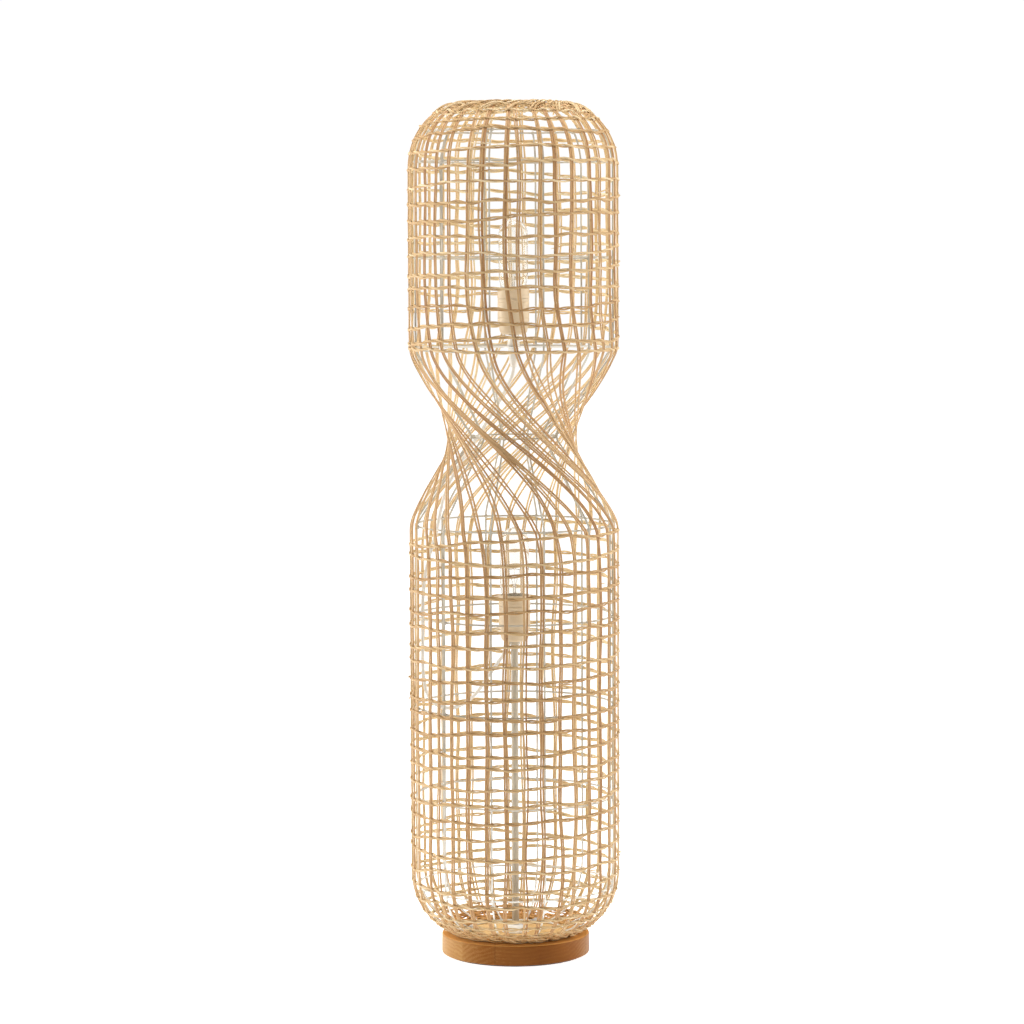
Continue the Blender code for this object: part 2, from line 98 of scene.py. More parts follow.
# Strands
STAKES = 36
FIRST_STAKE = 4.0
SPLINT_WIDTH = 0.0028
SPLINT_THICKNESS = 0.0020
WEAVER_WIDTH = 0.0028
WEAVER_THICKNESS = 0.0016
STAKE_RADIUS = SHADE_RADIUS - 0.0007
RUN_STEP = 0.0035
ROW_PITCH = 0.0242
RIM_PITCH = 0.0135
FOOT_PITCH = 0.0056
RIM_NEXT_PITCH = 0.020
FOOT_NEXT_PITCH = 0.012
OPENING_BAND = 0.07
RIM_BAND = 0.046
FOOT_BAND = 0.036
RIM_FOLD = 0.046
FOOT_FOLD = 0.028
UPPER_LEAN = 0.109
LOWER_LEAN = 0.055
WAIST_SHIFT = 0.0035

CORD_ROUTE = [
    (-0.0115, 0.000, 0.4451),
    (-0.0115, 0.000, 0.4380),
    (-0.0130, 0.000, 0.4310),
    (-0.0190, 0.001, 0.4215),
    (-0.0330, 0.003, 0.4014),
    (-0.0460, 0.005, 0.3816),
    (-0.0600, 0.007, 0.3647),
    (-0.0760, 0.009, 0.3530),
    (-0.0950, 0.011, 0.3485),
    (-0.1130, 0.013, 0.3545),
    (-0.1250, 0.015, 0.3710),
    (-0.1295, 0.015, 0.3980),
    (-0.1300, 0.015, 0.4400),
    (-0.1300, 0.015, 0.4890),
    (-0.1280, 0.014, 0.5220),
    (-0.1235, 0.013, 0.5500),
    (-0.1170, 0.012, 0.5750),
    (-0.1095, 0.011, 0.6010),
    (-0.1035, 0.010, 0.6310),
    (-0.0945, 0.009, 0.6620),
    (-0.0780, 0.007, 0.6930),
    (-0.0600, 0.005, 0.7200),
    (-0.0440, 0.004, 0.7450),
    (-0.0300, 0.003, 0.7670),
    (-0.0190, 0.002, 0.7860),
    (-0.0095, 0.001, 0.8040),
    (-0.0025, 0.000, 0.8190),
    (0.0000, 0.000, 0.8290),
    (0.0000, 0.000, 0.8360),
]

rng = random.Random(11)


# Camera, light and floor


def camera():
    """The photograph's view: a long lens a little below the lamp's top, tipped down."""
    distance = 4.9115
    eye_height = 1.0487
    tip = 4.895
    lean = -0.21
    aside = -0.0030
    data = bpy.data.cameras.new("camera")
    data.lens = 123.15
    data.sensor_width = 36
    data.clip_end = 100
    item = bpy.data.objects.new("camera", data)
    item.matrix_world = (
        Matrix.Translation((aside, -distance, eye_height))
        @ Matrix.Rotation(math.radians(90 - tip), 4, "X")
        @ Matrix.Rotation(math.radians(lean), 4, "Z")
    )
    bpy.context.scene.collection.objects.link(item)
    bpy.context.scene.camera = item


def area_light(name, place, aim, size, power, colour, spread=180):
    data = bpy.data.lights.new(name, "AREA")
    data.shape = "RECTANGLE"
    data.size, data.size_y = size
    data.energy = power
    data.color = colour
    data.spread = math.radians(spread)
    item = bpy.data.objects.new(name, data)
    item.location = place
    item.rotation_euler = (Vector(aim) - Vector(place)).to_track_quat("-Z", "Y").to_euler()
    bpy.context.scene.collection.objects.link(item)


def lights():
    """Tall soft boxes on both sides, a little behind the lamp, one overhead and a narrow one on the base."""
    middle = (0, 0, 0.65)
    warm = (1.0, 0.97, 0.92)
    area_light("left_box", (-2.2, 0.5, 1.1), middle, (1.0, 2.4), 64, warm)
    area_light("right_box", (2.2, 0.3, 1.1), middle, (1.0, 2.4), 46, warm)
    area_light("top_box", (0, -0.3, 3.0), middle, (1.6, 1.6), 64, (1, 1, 1))
    area_light("low_box", (-0.7, -1.8, 0.55), (0, 0, 0.03), (0.6, 0.4), 0.09, warm, spread=16)


def white_room():
    """A white surround, seen as white directly and through glass. Its light is dimmer in front."""
    world = bpy.data.worlds.new("white_room")
    world.use_nodes = True
    tree = world.node_tree
    direct = tree.nodes["Background"]
    feed(tree, direct, {"Color": (1, 1, 1, 1), "Strength": 1.02})
    place = node(tree, "ShaderNodeTexCoord")
    strength = ranged(tree, one_axis(tree, place.outputs["Generated"], "Y"), (0.17, 0.72), (-0.6, 0.5))
    lighting = node(tree, "ShaderNodeBackground", {"Color": (1, 1, 1, 1), "Strength": strength})
    path = node(tree, "ShaderNodeLightPath")
    seen = maths(tree, "MAXIMUM", path.outputs["Is Camera Ray"], path.outputs["Is Transmission Ray"])
    chosen = node(tree, "ShaderNodeMixShader", {0: seen, 1: lighting.outputs[0], 2: direct.outputs[0]})
    feed(tree, tree.nodes["World Output"], {"Surface": chosen.outputs[0]})
    bpy.context.scene.world = world
    bpy.context.scene.view_settings.view_transform = "Standard"


def floor():
    bpy.ops.mesh.primitive_plane_add(size=30, location=(0, 0, 0))
    item = bpy.context.active_object
    item.name = "floor"
    material, tree, shader = new_look("pale_floor")
    feed(tree, shader, {"Base Color": (0.70, 0.70, 0.70, 1), "Roughness": 0.9})
    feed(tree, shader, {"Emission Color": (1, 1, 1, 1), "Emission Strength": 0.85})
    item.data.materials.append(material)


# Materials


def new_look(name):
    material = bpy.data.materials.new(name)
    material.use_nodes = True
    tree = material.node_tree
    return material, tree, tree.nodes["Principled BSDF"]


def feed(tree, made, inputs):
    """Join a node's inputs to other nodes, or set them to values."""
    for key, value in inputs.items():
        if isinstance(value, bpy.types.NodeSocket):
            tree.links.new(value, made.inputs[key])
        else:
            made.inputs[key].default_value = value


def node(tree, kind, inputs=None, **settings):
    made = tree.nodes.new(kind)
    for key, value in settings.items():
        setattr(made, key, value)
    feed(tree, made, inputs or {})
    return made


def noise(tree, vector, scale, detail, roughness=0.5):
    inputs = {"Vector": vector, "Scale": scale, "Detail": detail, "Roughness": roughness}
    return node(tree, "ShaderNodeTexNoise", inputs).outputs["Fac"]


def ramp(tree, factor, stops):
    """Colours, or greys where a stop's value is one number, at places from 0 to 1."""
    made = node(tree, "ShaderNodeValToRGB", {"Fac": factor})
    elements = made.color_ramp.elements
    while len(elements) < len(stops):
        elements.new(0.5)
    for element, (place, value) in zip(elements, stops):
        element.position = place
        colour = (value, value, value) if isinstance(value, (int, float)) else value
        element.color = (*colour, 1)
    return made.outputs["Color"]


def maths(tree, operation, a, b=0.5, clamp=False):
    return node(tree, "ShaderNodeMath", {0: a, 1: b}, operation=operation, use_clamp=clamp).outputs[0]


def summed(tree, *terms):
    """The sum of values, each times its weight."""
    total = 0.0
    for value, weight in terms:
        total = maths(tree, "ADD", total, maths(tree, "MULTIPLY", value, weight))
    return total


def ranged(tree, value, to, source=(0, 1)):
    """The value carried from its own range to another."""
    made = node(tree, "ShaderNodeMapRange", {"Value": value, "From Min": source[0], "From Max": source[1]})
    feed(tree, made, {"To Min": to[0], "To Max": to[1]})
    return made.outputs["Result"]


def one_axis(tree, vector, axis):
    return node(tree, "ShaderNodeSeparateXYZ", {"Vector": vector}).outputs[axis]


def mixed(tree, factor, a, b, how="MIX"):
    """Colour a with b over it by a factor from 0 to 1."""
    a, b = ((*colour, 1) if isinstance(colour, tuple) else colour for colour in (a, b))
    inputs = {0: factor, 6: a, 7: b}
    return node(tree, "ShaderNodeMix", inputs, data_type="RGBA", blend_type=how).outputs[2]


def bumped(tree, shader, height, distance, strength):
    """Raise the surface by a texture, as far as distance in metres."""
    made = node(tree, "ShaderNodeBump", {"Height": height, "Distance": distance, "Strength": strength})
    feed(tree, shader, {"Normal": made.outputs["Normal"]})


def scaled(tree, vector, scale):
    return node(tree, "ShaderNodeMapping", {"Vector": vector, "Scale": scale}).outputs["Vector"]


def object_space(tree):
    return node(tree, "ShaderNodeTexCoord").outputs["Object"]


def rattan_look(name, skin, core):
    """Split rattan: fibres along the strand, a tan skin outside, a paler core inside, joints and specks.

    Each strand's fibre attribute is its place across, through and along the strand, in metres. Near the
    foot the inner side is browner with painted shade.
    """
    material, tree, shader = new_look(name)
    fibre = node(tree, "ShaderNodeAttribute", attribute_name="fibre").outputs["Vector"]
    tone = node(tree, "ShaderNodeAttribute", attribute_name="tone").outputs["Fac"]
    streaks = noise(tree, scaled(tree, fibre, (1, 1, 0.03)), 2300, 3, 0.65)
    cloud = noise(tree, fibre, 42, 2)
    specks = noise(tree, fibre, 900, 1)
    shade = summed(tree, (tone, 0.85), (streaks, 0.46), (cloud, 0.45))
    shade = maths(tree, "SUBTRACT", shade, 0.325, clamp=True)
    outer = ramp(tree, shade, [(0.12, skin[0]), (0.50, skin[1]), (0.88, skin[2])])
    inner = ramp(tree, shade, [(0.12, core[0]), (0.50, core[1]), (0.88, core[2])])
    # Painted shade: near the foot the inner side is made browner, where the braid's inside lies in shade.
    by_the_foot = ramp(tree, one_axis(tree, object_space(tree), "Z"), [(0.042, 1.0), (0.052, 0.0)])
    painted_shade_brown = mixed(tree, 1.0, inner, (0.88, 0.62, 0.38), "MULTIPLY")
    inner = mixed(tree, by_the_foot, inner, painted_shade_brown)
    side = ranged(tree, one_axis(tree, fibre, "Y"), (0, 1), (-0.0004, 0.0004))
    colour = mixed(tree, side, inner, outer)
    joint = maths(tree, "FRACT", maths(tree, "MULTIPLY", one_axis(tree, fibre, "Z"), 4.3))
    joint = ramp(tree, joint, [(0.0, 0.62), (0.010, 0.75), (0.022, 1.0)])
    colour = mixed(tree, 0.8, colour, joint, "MULTIPLY")
    dark = ramp(tree, specks, [(0.24, 0.35), (0.30, 1.0)])
    colour = mixed(tree, 0.75, colour, dark, "MULTIPLY")
    gloss = ranged(tree, streaks, (0.36, 0.66))
    feed(tree, shader, {"Base Color": colour, "Roughness": gloss, "Specular IOR Level": 0.30})
    bumped(tree, shader, streaks, 0.00025, 0.7)
    return material


def stake_look():
    skin = ((0.57, 0.390, 0.200), (0.44, 0.258, 0.115), (0.31, 0.150, 0.055))
    core = ((0.84, 0.71, 0.47), (0.77, 0.59, 0.34), (0.66, 0.45, 0.20))
    return rattan_look("rattan_stakes", skin, core)


def weaver_look():
    skin = ((0.66, 0.52, 0.32), (0.49, 0.33, 0.160), (0.35, 0.195, 0.072))
    core = ((0.85, 0.75, 0.52), (0.79, 0.64, 0.39), (0.68, 0.48, 0.23))
    return rattan_look("rattan_weavers", skin, core)


def paint_look(name, shades, gloss, painted_foot_light=None):
    """White paint on steel, with its fine texture and a little dust. It may be lighter towards the foot, as
    painted light.
    """
    material, tree, shader = new_look(name)
    space = object_space(tree)
    dust = noise(tree, space, 14, 3)
    grain = noise(tree, space, 1600, 2)
    colour = ramp(tree, dust, [(0.30, shades[0]), (0.62, shades[1])])
    if painted_foot_light:
        # Painted light: the colour turns lighter towards the foot.
        by_the_foot = ramp(tree, one_axis(tree, space, "Z"), [(0.10, 1.0), (0.30, 0.0)])
        colour = mixed(tree, by_the_foot, colour, painted_foot_light)
    feed(tree, shader, {"Base Color": colour, "Roughness": ranged(tree, grain, gloss)})
    bumped(tree, shader, grain, 0.00008, 0.5)
    return material


def wood_look():
    """Lacquered wood in glued staves along X, each with growth rings and pores of its own.

    The side carries painted shade, darkest in front, a little to the right, and lighter towards both
    ends. The top carries painted light, golden but for its edge, which is browner with painted shade.
    """
    stave_width = 0.052
    stave_length = 0.128
    painted_shade_centre = 0.035
    material, tree, shader = new_look("lacquered_wood")
    place = object_space(tree)
    parts = node(tree, "ShaderNodeSeparateXYZ", {"Vector": place})
    across = maths(tree, "MULTIPLY", maths(tree, "ADD", parts.outputs["Y"], 0.0210), 1 / stave_width)
    along = maths(tree, "MULTIPLY", maths(tree, "ADD", parts.outputs["X"], 0.029), 1 / stave_length)
    whole = {"X": maths(tree, "FLOOR", along), "Y": maths(tree, "FLOOR", across)}
    stave = node(tree, "ShaderNodeCombineXYZ", whole).outputs["Vector"]
    own = node(tree, "ShaderNodeTexWhiteNoise", {"Vector": stave}, noise_dimensions="3D")
    far = {0: own.outputs["Color"], 1: (0.9, 0.16, 0.22)}
    shift = node(tree, "ShaderNodeVectorMath", far, operation="MULTIPLY").outputs[0]
    moved = node(tree, "ShaderNodeVectorMath", {0: place, 1: shift}, operation="ADD").outputs[0]
    askew = {"Vector": moved, "Rotation": (0.35, 0.12, 0.10), "Scale": (0.10, 1.0, 1.0)}
    log = node(tree, "ShaderNodeMapping", askew).outputs["Vector"]
    growth = {"Vector": log, "Scale": 62, "Distortion": 5.5, "Detail": 3, "Detail Scale": 1.2}
    rings = node(tree, "ShaderNodeTexWave", growth, wave_type="RINGS", rings_direction="X").outputs["Fac"]
    pores = noise(tree, scaled(tree, moved, (0.045, 1, 1)), 1500, 3, 0.7)
    cloud = noise(tree, moved, 16, 3)
    grain = summed(tree, (rings, 0.07), (pores, 0.42), (cloud, 0.32), (own.outputs["Value"], 0.14))
    # Painted shade on the side: darkest a little right of the middle in X, lighter towards both ends.
    from_painted_shade = maths(tree, "ABSOLUTE", maths(tree, "SUBTRACT", parts.outputs["X"], painted_shade_centre))
    grain = maths(tree, "SUBTRACT", grain, maths(tree, "MULTIPLY", from_painted_shade, 3.4))
    grain = maths(tree, "ADD", grain, 0.20, clamp=True)
    brown = [(0.15, (0.43, 0.238, 0.080)), (0.45, (0.225, 0.078, 0.012)), (0.85, (0.135, 0.040, 0.005))]
    # Painted light and reflection: upward faces get lighter golden colours for the light on the top and its
    # reflection of the room.
    golden = [(0.15, (0.82, 0.60, 0.33)), (0.50, (0.77, 0.53, 0.26)), (0.85, (0.69, 0.45, 0.20))]
    side_grain = ramp(tree, grain, brown)
    painted_light_top = ramp(tree, grain, golden)
    flat = scaled(tree, place, (1, 1, 0))
    reach = node(tree, "ShaderNodeVectorMath", {0: flat}, operation="LENGTH").outputs["Value"]
    # Painted shade: the top's edge outside the weave is made browner.
    by_the_edge = ramp(tree, reach, [(0.079, 0.0), (0.086, 1.0)])
    painted_shade_brown = mixed(tree, 1.0, painted_light_top, (0.94, 0.69, 0.43), "MULTIPLY")
    painted_light_top = mixed(tree, by_the_edge, painted_light_top, painted_shade_brown)
    facing = one_axis(tree, node(tree, "ShaderNodeNewGeometry").outputs["Normal"], "Z")
    upward = ramp(tree, facing, [(0.5, 0.0), (0.95, 1.0)])
    colour = mixed(tree, upward, side_grain, painted_light_top)
    glue = maths(tree, "ABSOLUTE", maths(tree, "SUBTRACT", maths(tree, "FRACT", along), 0.5))
    glue = ramp(tree, glue, [(0.486, 1.0), (0.496, 0.80)])
    colour = mixed(tree, 0.7, colour, glue, "MULTIPLY")
    sheen = maths(tree, "MULTIPLY", maths(tree, "SUBTRACT", 1.0, upward), 0.09)
    gloss = ranged(tree, pores, (0.30, 0.50))
    feed(tree, shader, {"Base Color": colour, "Roughness": gloss, "Specular IOR Level": sheen})
    bumped(tree, shader, pores, 0.00012, 0.5)
    return material


def plain_look(name, colours, gloss, scale, bump, metallic):
    """A moulded, drawn or cast surface: two colours in soft clouds, with a fine texture of its own."""
    material, tree, shader = new_look(name)
    space = object_space(tree)
    cloud = noise(tree, space, scale * 0.06, 3)
    grain = noise(tree, space, scale, 3, 0.6)
    colour = ramp(tree, cloud, [(0.30, colours[0]), (0.70, colours[1])])
    feed(tree, shader, {"Base Color": colour, "Roughness": ranged(tree, grain, gloss), "Metallic": metallic})
    bumped(tree, shader, grain, bump, 0.6)
    return material


def glass_look():
    """Thin clear glass, a little uneven from blowing."""
    material, tree, shader = new_look("clear_glass")
    space = object_space(tree)
    waves = noise(tree, space, 55, 2)
    tint = ramp(tree, waves, [(0.3, (0.96, 0.945, 0.91)), (0.7, (0.99, 0.98, 0.955))])
    feed(tree, shader, {"Base Color": tint, "Roughness": ranged(tree, waves, (0.0, 0.03))})
    feed(tree, shader, {"Transmission Weight": 0.95, "IOR": 1.14})
    bumped(tree, shader, waves, 0.0004, 0.25)
    return material


def make_looks():
    """Every look of the lamp by its short name."""
    looks = {"stake": stake_look(), "weaver": weaver_look(), "wood": wood_look(), "glass": glass_look()}
    # Painted shade: the white paint of the frame wires and of the stem is set to warm greys for the shade
    # inside the cage, tinted by a painted reflection of the rattan.
    frame_painted_shade = ((0.40, 0.37, 0.31), (0.53, 0.50, 0.43))
    looks["wire_paint"] = paint_look("wire_paint", frame_painted_shade, (0.25, 0.42), (0.80, 0.80, 0.77))
    looks["paint"] = paint_look("white_powder_coat", ((0.38, 0.34, 0.27), (0.48, 0.44, 0.36)), (0.16, 0.28))
    looks["gloss"] = paint_look("white_gloss_paint", ((0.84, 0.84, 0.81), (0.90, 0.90, 0.88)), (0.08, 0.16))
    # name, two colours, range of gloss, scale of the texture, its depth, how metallic
    plain = {
        "beige": ("beige_plastic", (0.62, 0.51, 0.365), (0.56, 0.45, 0.305), (0.34, 0.50), 900, 0.00006, 0),
        "pvc": ("white_pvc", (0.80, 0.79, 0.76), (0.72, 0.71, 0.68), (0.40, 0.55), 700, 0.00008, 0),
        "brass": ("brass", (0.80, 0.60, 0.28), (0.66, 0.47, 0.20), (0.22, 0.42), 800, 0.00004, 1),
        "ceramic": ("ceramic", (0.84, 0.83, 0.79), (0.77, 0.75, 0.70), (0.45, 0.65), 1200, 0.0001, 0),
        "zinc": ("zinc_plated_steel", (0.62, 0.62, 0.63), (0.50, 0.50, 0.52), (0.25, 0.5), 600, 0.00005, 1),
        "iron": ("cut_iron", (0.17, 0.16, 0.16), (0.10, 0.095, 0.09), (0.45, 0.7), 500, 0.0002, 0.9),
        "felt": ("dark_felt", (0.07, 0.065, 0.06), (0.12, 0.11, 0.10), (0.9, 1.0), 2500, 0.0006, 0),
        "wire": ("lamp_wire", (0.22, 0.20, 0.19), (0.12, 0.11, 0.10), (0.3, 0.5), 900, 0.00003, 0.8),
    }
    for key, (name, pale, deep, gloss, scale, bump, metallic) in plain.items():
        looks[key] = plain_look(name, (pale, deep), gloss, scale, bump, metallic)
    return looks


# Mesh tools


def shown(name, mesh, look, body, slot, *nodes):
    """A finished piece: it rides on a body and stands for these CAD nodes. Its slot is not used."""
    item = bpy.data.objects.new(name, mesh)
    mesh.materials.append(looks[look])
    bpy.context.scene.collection.objects.link(item)
    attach(item, body)
    if nodes:
        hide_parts(*nodes)
    return item


def unit(vectors):
    return vectors / np.linalg.norm(vectors, axis=1, keepdims=True)


def smoothed(path, times):
    """The path with its corners eased, and its ends kept."""
    for _ in range(times):
        eased = path.copy()
        eased[1:-1] = (path[:-2] + 2 * path[1:-1] + path[2:]) / 4
        path = eased
    return path


def crossways(path, outward):
    """Each point's unit vectors across the strand and out of its broad face."""
    along = unit(np.gradient(path, axis=0))
    across = unit(np.cross(outward, along))
    return across, np.cross(along, across)


class Strands:
    """Strands swept into one mesh, with the fibre and tone that the rattan looks read."""

    def __init__(self, sides):
        self.sides = sides
        self.points = []
        self.faces = []
        self.fibres = []
        self.tones = []
        self.total = 0

    def add(self, path, outward, width, thickness, closed=False, taper=False, pale=0.0):
        """An oval strand along path. Its broad face looks along outward, and taper thins both its ends.

        Its tone is its own, and pale makes it lighter at each point or all along.
        """
        sides = self.sides
        count = len(path)
        across, out = crossways(path, outward)
        angles = math.tau * (np.arange(sides) + 0.5) / sides
        flat = np.sign(np.cos(angles)) * np.abs(np.cos(angles)) ** 0.8
        proud = np.sign(np.sin(angles)) * np.abs(np.sin(angles)) ** 0.8
        half_width = np.full(count, width / 2) if np.isscalar(width) else width / 2
        half_thickness = np.full(count, thickness / 2)
        if taper:
            thin = np.minimum(1, 0.35 + np.minimum(np.arange(count), np.arange(count)[::-1]) / 3)
            half_width = half_width * thin
            half_thickness = half_thickness * thin
        u = half_width[:, None] * flat[None, :]
        v = half_thickness[:, None] * proud[None, :]
        ring = path[:, None, :] + u[:, :, None] * across[:, None, :] + v[:, :, None] * out[:, None, :]
        steps = np.linalg.norm(np.diff(path, axis=0), axis=1)
        run = np.concatenate([[0], np.cumsum(steps)]) + rng.uniform(0, 9)
        self.points.append(ring.reshape(-1, 3))
        self.fibres.append(np.stack([u, v, np.repeat(run[:, None], sides, 1)], 2).reshape(-1, 3))
        tone = min(1, max(0, rng.gauss(0.5, 0.19)))
        self.tones.append(np.repeat(np.full(count, tone) - pale, sides))
        index = np.arange(count * sides).reshape(count, sides) + self.total
        if closed:
            index = np.concatenate([index, index[:1]])
        around = np.roll(index, -1, axis=1)
        self.faces.append(np.stack([index[:-1], around[:-1], around[1:], index[1:]], 2).reshape(-1, 4))
        if not closed:
            for i in range(sides // 2 - 1):
                a, b, c, d = i, i + 1, sides - 2 - i, sides - 1 - i
                self.faces.append(index[0][[d, c, b, a]][None, :])
                self.faces.append(index[-1][[a, b, c, d]][None, :])
        self.total += count * sides

    def mesh(self, name):
        points = np.concatenate(self.points)
        faces = np.concatenate(self.faces)
        mesh = bpy.data.meshes.new(name)
        mesh.vertices.add(len(points))
        mesh.vertices.foreach_set("co", points.ravel())
        mesh.loops.add(faces.size)
        mesh.loops.foreach_set("vertex_index", faces.ravel())
        mesh.polygons.add(len(faces))
        mesh.polygons.foreach_set("loop_start", np.arange(len(faces)) * 4)
        mesh.update(calc_edges=True)
        fibre = mesh.attributes.new("fibre", "FLOAT_VECTOR", "POINT")
        fibre.data.foreach_set("vector", np.concatenate(self.fibres).ravel())
        tone = mesh.attributes.new("tone", "FLOAT", "POINT")
        tone.data.foreach_set("value", np.concatenate(self.tones))
        mesh.shade_smooth()
        return mesh


def rounded(outline, radius, steps=3):
    """An outline of (radius, z) points whose inner corners are eased by arcs."""
    points = [Vector(point) for point in outline]
    eased = [points[0]]
    for before, corner, after in zip(points, points[1:], points[2:]):
        back = before - corner
        on = after - corner
        reach = min(radius, back.length * 0.45, on.length * 0.45)
        start = corner + back.normalized() * reach
        end = corner + on.normalized() * reach
        for i in range(steps + 1):
            t = i / steps
            eased.append(start * (1 - t) ** 2 + corner * 2 * t * (1 - t) + end * t**2)
    eased.append(points[-1])
    return eased


def turned(name, outline, look, body, slot, *nodes, at=(0, 0, 0), sides=64, loop=True, lay=None):
    """A shape turned about Z from an outline that runs down its outer side."""
    made = bmesh.new()
    corners = [made.verts.new((point[0], 0, point[1])) for point in outline]
    edges = [made.edges.new(pair) for pair in zip(corners, corners[1:])]
    if loop:
        edges.append(made.edges.new((corners[-1], corners[0])))
    once_round = {"axis": (0, 0, 1), "cent": (0, 0, 0), "angle": math.tau, "steps": sides}
    bmesh.ops.spin(made, geom=corners + edges, use_duplicate=False, **once_round)
    bmesh.ops.remove_doubles(made, verts=made.verts, dist=1e-6)
    bmesh.ops.recalc_face_normals(made, faces=made.faces)
    mesh = bpy.data.meshes.new(name)
    made.to_mesh(mesh)
    made.free()
    if lay is not None:
        mesh.transform(lay)
    mesh.transform(Matrix.Translation(at))
    mesh.shade_smooth()
    mesh.set_sharp_from_angle(angle=math.radians(38))
    return shown(name, mesh, look, body, slot, *nodes)


def wander(t, wavelength):
    """Smooth random drift along t, from about -1 to 1, with no pattern that repeats."""
    waves = 4
    total = np.zeros(len(t))
    for _ in range(waves):
        length = wavelength * rng.uniform(0.6, 1.7)
        total += np.sin(math.tau * t / length + rng.uniform(0, math.tau))
    return total / math.sqrt(2 * waves)


# The shade's wall


def twist_share(z):
    """How far a strand has crossed the waist at height z, from 0 at its upper end to 1 at its lower end."""
    share = np.clip((UPPER_BASKET_Z - z) / (UPPER_BASKET_Z - LOWER_BASKET_Z), 0, 1)
    return STIFF_SHARE * (3 * share**2 - 2 * share**3) + (1 - STIFF_SHARE) * share


def wall():
    """Run, radius and height of the strands' own surface, in even steps from the rim to the foot."""
    down = np.linspace(0, math.pi / 2, 60)
    rim_z = HEIGHT - 0.0015
    foot_z = BASE_TOP + 0.0025
    dome_r = DOME_CENTRE + (STAKE_RADIUS - DOME_CENTRE) * np.sin(down)
    dome_z = DOME_START + (rim_z - DOME_START) * np.cos(down)
    upper_z = np.linspace(DOME_START, UPPER_BASKET_Z, 100)
    waist_z = np.linspace(UPPER_BASKET_Z, LOWER_BASKET_Z, 160)
    lower_z = np.linspace(LOWER_BASKET_Z, BOWL_START, 200)
    bowl_r = BOWL_CENTRE + (STAKE_RADIUS - BOWL_CENTRE) * np.cos(down)
    bowl_z = BOWL_START - (BOWL_START - foot_z) * np.sin(down)
    share = twist_share(waist_z)
    chord = math.radians(TWIST)
    waist_r = STAKE_RADIUS * np.sqrt(1 - 2 * share * (1 - share) * (1 - math.cos(chord)))
    upper_r = np.full(len(upper_z), STAKE_RADIUS)
    lower_r = np.full(len(lower_z), STAKE_RADIUS)
    radius = np.concatenate([dome_r, upper_r[1:-1], waist_r, lower_r[1:-1], bowl_r])
    height = np.concatenate([dome_z, upper_z[1:-1], waist_z, lower_z[1:-1], bowl_z])
    run = np.concatenate([[0], np.cumsum(np.hypot(np.diff(radius), np.diff(height)))])
    even = np.arange(0, run[-1], RUN_STEP)
    line = np.stack([np.interp(even, run, radius), np.interp(even, run, height)], 1)
    line = smoothed(line, 6)
    return even, line[:, 0], line[:, 1]


def wall_turn(z):
    """How far a strand has turned about the axis at height z on its way down, in degrees."""
    share = twist_share(z)
    chord = math.radians(TWIST)
    crossed = np.degrees(np.arctan2(share * math.sin(chord), 1 - share * (1 - math.cos(chord))))
    start_slope = math.degrees(math.sin(chord)) * (1 - STIFF_SHARE) / (UPPER_BASKET_Z - LOWER_BASKET_Z)
    above = np.clip(z - UPPER_BASKET_Z, 0, UPPER_LEAN)
    below = np.clip(LOWER_BASKET_Z - z, 0, LOWER_LEAN)
    before = start_slope * (UPPER_LEAN / 2 - above + above**2 / (2 * UPPER_LEAN))
    after = start_slope * (below - below**2 / (2 * LOWER_LEAN))
    return before + crossed + after


def on_wall(run, azimuth, lift):
    """Points at runs and azimuths on the wall, raised by lift, and the wall's outward normals there."""
    radius = np.interp(run, RUN, RADIUS)
    z = np.interp(run, RUN, Z)
    normal_r = np.interp(run, RUN, NORMAL_R)
    normal_z = np.interp(run, RUN, NORMAL_Z)
    angle = np.radians(azimuth)
    direction = np.stack([np.sin(angle), -np.cos(angle), np.zeros(len(angle))], 1)
    outward = direction * normal_r[:, None]
    outward[:, 2] += normal_z
    place = direction * radius[:, None]
    place[:, 2] += z
    return place + outward * np.reshape(lift, (-1, 1)), outward


def crowding(top):
    """How far a strand that starts at this azimuth is drawn to its neighbours in the waist, in degrees."""
    bundles = [(-76, 15, 0.95), (-108, 14, 0.6), (-40, 9, 0.5), (8, 15, 0.7), (50, 10, 0.6), (94, 12, 0.6)]
    bundles += [(140, 13, 0.6), (186, 11, 0.5), (228, 12, 0.55)]
    drawn = 0.0
    for centre, reach, strength in bundles:
        away = (top - centre + 180) % 360 - 180
        drawn -= away * strength * math.exp(-((away / reach) ** 4))
    return drawn


def stake_lines():
    """Each stake's azimuth along the run, before its strands part in the waist."""
    lines = []
    for k in range(STAKES):
        jitter = max(-2.2, min(2.2, rng.gauss(0, 1.1)))
        drift = 0.9 * wander(RUN, 0.22)
        lines.append(FIRST_STAKE + k * 360 / STAKES + jitter + TURN + drift)
    return np.array(lines)


